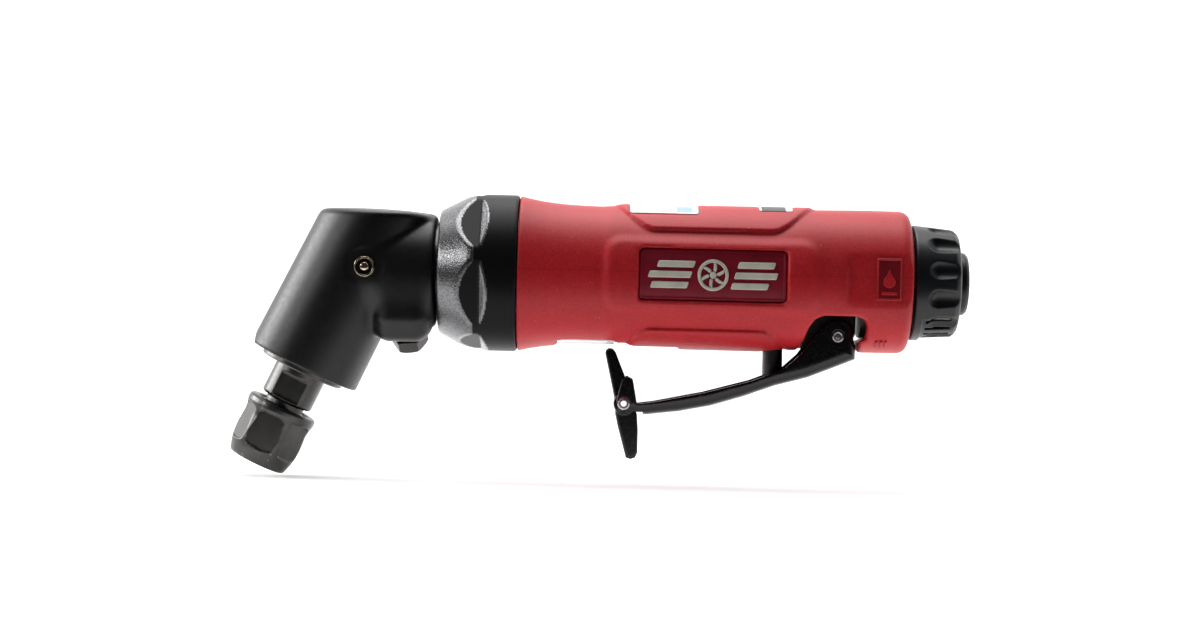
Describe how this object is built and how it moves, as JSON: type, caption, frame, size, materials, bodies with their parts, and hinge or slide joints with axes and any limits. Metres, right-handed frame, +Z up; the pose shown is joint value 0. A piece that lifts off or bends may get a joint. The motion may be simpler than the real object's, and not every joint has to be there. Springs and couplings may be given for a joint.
{
  "type": "angle die grinder",
  "caption": "Air die grinder with a leaning angle head, collet spindle, vane motor in a moulded grip, throttle lever with a safety catch and a turning exhaust deflector.",
  "frame": {"origin": "centre of the air inlet's mouth, on the handle's axis", "axes": "+X along the handle and out of the air inlet, +Z up and away from the lever, +Y to the left of a user who holds it with the head in front"},
  "size_m": [0.1829, 0.039, 0.0709],
  "materials": {
    "black_casting": "satin black paint on cast aluminium",
    "black_ring": "satin black anodised, grainy cone",
    "black_oxide": "black oxide on steel",
    "brass": "machined",
    "bronze": "machined",
    "spring_steel": "satin",
    "bearing_steel": "polished",
    "machined_steel": "machined",
    "gear_steel": "ground",
    "housing_aluminium": "machined",
    "phenolic": "matte",
    "black_rubber": "matte",
    "red_composite": "fine grained moulded composite",
    "badge_red": "smooth moulded",
    "label_white": "printed film",
    "black_lever": "gloss black paint on pressed steel",
    "black_plastic": "satin moulded",
    "felt": "pressed felt"
  },
  "bodies": {
    "housing": {"head_housing": "black_casting", "clamp_nut": "black_ring", "clamp_bolt": "black_oxide", "grease_fitting": "brass", "bearing_retainer": "black_oxide", "lower_spindle_bearing": "bearing_steel", "upper_spindle_bearing": "bearing_steel", "spindle_outer_spacer": "machined_steel", "pinion_cartridge": "black_oxide", "front_pinion_bearing": "bearing_steel", "rear_pinion_bearing": "bearing_steel", "pinion_bearing_spacer": "machined_steel", "pinion_snap_ring": "spring_steel", "nut_snap_ring": "spring_steel", "motor_housing": "housing_aluminium", "front_end_plate": "bronze", "front_rotor_bearing": "bearing_steel", "motor_cylinder": "machined_steel", "rear_end_plate": "bronze", "rear_rotor_bearing": "bearing_steel", "cylinder_pin": "machined_steel", "valve_housing": "black_casting", "housing_gasket": "black_rubber", "valve_seat": "black_rubber", "stem_o_ring": "black_rubber", "valve_spring": "spring_steel", "valve_cap": "brass", "grip": "red_composite", "side_badges": "badge_red", "oil_plate": "badge_red", "top_label": "label_white", "rear_top_label": "label_white", "bottom_label": "label_white", "lever_pin": "machined_steel", "inlet_bushing": "black_oxide", "inlet_screen": "brass", "inlet_o_ring": "black_rubber"},
    "rotor": {"rotor": "machined_steel", "rotor_vanes": "phenolic", "pinion": "gear_steel"},
    "spindle": {"spindle": "black_oxide", "spindle_inner_spacer": "machined_steel", "driven_gear": "gear_steel", "gear_nut": "machined_steel"},
    "collet": {"collet": "spring_steel"},
    "collet_nut": {"collet_nut": "black_oxide"},
    "lever": {"lever": "black_lever", "catch_pin": "machined_steel", "catch_spring": "spring_steel"},
    "safety_catch": {"safety_catch": "black_lever"},
    "throttle_stem": {"throttle_stem": "black_oxide", "throttle_valve": "brass"},
    "exhaust_deflector": {"exhaust_deflector": "black_plastic", "muffler_felt": "felt"}
  },
  "joints": [
    {"name": "rotor_spin", "type": "hinge", "parent": "housing", "child": "rotor", "pos_m": [-0.1538, 0, 0], "axis": [1, 0, 0], "continuous": true},
    {"name": "spindle_spin", "type": "hinge", "parent": "housing", "child": "spindle", "pos_m": [-0.1538, 0, 0], "axis": [-0.4226, 0, -0.9063], "continuous": true},
    {"name": "collet_slide", "type": "slide", "parent": "spindle", "child": "collet", "axis": [-0.4226, 0, -0.9063], "range_m": [0, 0.002]},
    {"name": "nut_turn", "type": "hinge", "parent": "collet", "child": "collet_nut", "pos_m": [-0.1538, 0, 0], "axis": [-0.4226, 0, -0.9063], "range_deg": [0, 720]},
    {"name": "lever_press", "type": "hinge", "parent": "housing", "child": "lever", "pos_m": [-0.0324, 0, -0.0138], "axis": [0, 1, 0], "range_deg": [0, 7.5], "stiffness_Nm_per_rad": 3, "springref_deg": -6.88},
    {"name": "catch_turn", "type": "hinge", "parent": "lever", "child": "safety_catch", "pos_m": [-0.085, 0, -0.0318], "axis": [0, 1, 0], "range_deg": [0, 90]},
    {"name": "stem_slide", "type": "slide", "parent": "housing", "child": "throttle_stem", "axis": [0, 0, 1], "range_m": [0, 0.0021], "deforming": ["valve_spring"]},
    {"name": "deflector_turn", "type": "hinge", "parent": "housing", "child": "exhaust_deflector", "pos_m": [0, 0, 0], "axis": [1, 0, 0], "continuous": true}
  ],
  "couplings": [
    {"joint": "spindle_spin", "follows": "rotor_spin", "ratio": -0.76471},
    {"joint": "collet_slide", "follows": "nut_turn", "m_per_rad": 0.00015915},
    {"joint": "catch_turn", "follows": "lever_press", "ratio": 12},
    {"joint": "stem_slide", "follows": "lever_press", "m_per_rad": 0.0157}
  ]
}
